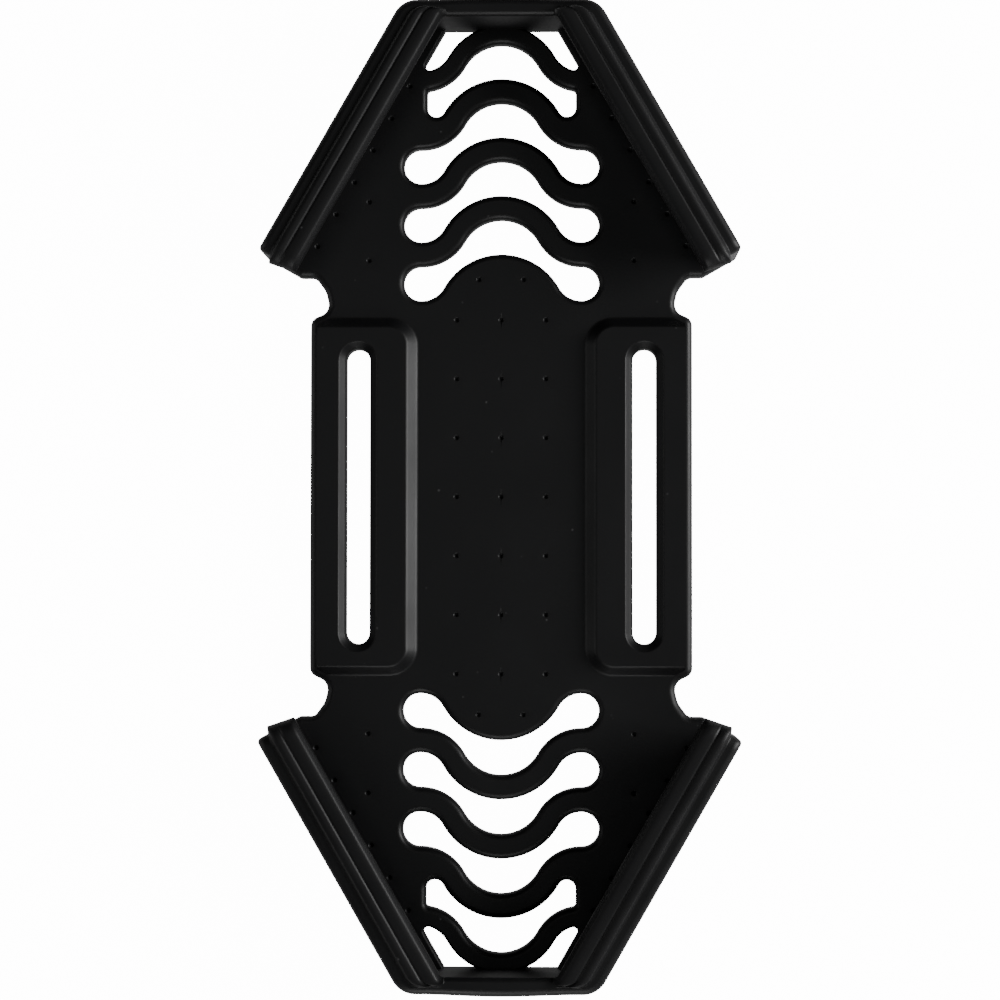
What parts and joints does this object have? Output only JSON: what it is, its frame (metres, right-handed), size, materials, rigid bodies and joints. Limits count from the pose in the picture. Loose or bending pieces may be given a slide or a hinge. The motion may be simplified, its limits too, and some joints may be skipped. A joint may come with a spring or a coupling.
{
  "type": "phone handlebar mount",
  "caption": "One-piece stretch-on silicone phone cradle for a handlebar, with lipped corner grips, wave springs and two slots for a strap.",
  "frame": {"origin": "centre of the back face, on the surface that the cradle lies on", "axes": "+Z out of the front, where the phone goes; +Y the long way, to the upper end; +X across, to the right as seen from the front"},
  "size_m": [0.0636, 0.132, 0.013],
  "materials": {
    "silicone": "satin moulded black silicone rubber"
  },
  "bodies": {
    "middle": {"centre_panel": "silicone", "left_strap_pad": "silicone", "right_strap_pad": "silicone", "upper_left_neck": "silicone", "upper_right_neck": "silicone", "lower_left_neck": "silicone", "lower_right_neck": "silicone"},
    "upper_end": {"upper_end_wall": "silicone", "upper_wave_bar_1": "silicone", "upper_wave_bar_2": "silicone", "upper_wave_bar_3": "silicone", "upper_wave_bar_4": "silicone", "upper_left_web": "silicone", "upper_left_side_wall": "silicone", "upper_left_corner": "silicone", "upper_right_web": "silicone", "upper_right_side_wall": "silicone", "upper_right_corner": "silicone"},
    "lower_end": {"lower_end_wall": "silicone", "lower_wave_bar_1": "silicone", "lower_wave_bar_2": "silicone", "lower_wave_bar_3": "silicone", "lower_wave_bar_4": "silicone", "lower_left_web": "silicone", "lower_left_side_wall": "silicone", "lower_left_corner": "silicone", "lower_right_web": "silicone", "lower_right_side_wall": "silicone", "lower_right_corner": "silicone"},
    "upper_left_lip": {"upper_left_lip": "silicone"},
    "upper_right_lip": {"upper_right_lip": "silicone"},
    "lower_left_lip": {"lower_left_lip": "silicone"},
    "lower_right_lip": {"lower_right_lip": "silicone"}
  },
  "joints": [
    {"name": "upper_end_stretch", "type": "slide", "parent": "middle", "child": "upper_end", "axis": [0, 1, 0], "range_m": [0, 0.01], "stiffness_N_per_m": 600, "deforming": ["upper_left_neck", "upper_right_neck"]},
    {"name": "lower_end_stretch", "type": "slide", "parent": "middle", "child": "lower_end", "axis": [0, -1, 0], "range_m": [0, 0.01], "stiffness_N_per_m": 600, "deforming": ["lower_left_neck", "lower_right_neck"]},
    {"name": "upper_left_lip_peel", "type": "hinge", "parent": "upper_end", "child": "upper_left_lip", "pos_m": [-0.03068, 0.03173, 0.0122], "axis": [-0.4974, -0.8675, 0], "range_deg": [0, 60], "stiffness_Nm_per_rad": 0.0006},
    {"name": "upper_right_lip_peel", "type": "hinge", "parent": "upper_end", "child": "upper_right_lip", "pos_m": [0.03068, 0.03173, 0.0122], "axis": [-0.4974, 0.8675, 0], "range_deg": [0, 60], "stiffness_Nm_per_rad": 0.0006},
    {"name": "lower_left_lip_peel", "type": "hinge", "parent": "lower_end", "child": "lower_left_lip", "pos_m": [-0.03068, -0.03173, 0.0122], "axis": [0.4974, -0.8675, 0], "range_deg": [0, 60], "stiffness_Nm_per_rad": 0.0006},
    {"name": "lower_right_lip_peel", "type": "hinge", "parent": "lower_end", "child": "lower_right_lip", "pos_m": [0.03068, -0.03173, 0.0122], "axis": [0.4974, 0.8675, 0], "range_deg": [0, 60], "stiffness_Nm_per_rad": 0.0006}
  ]
}
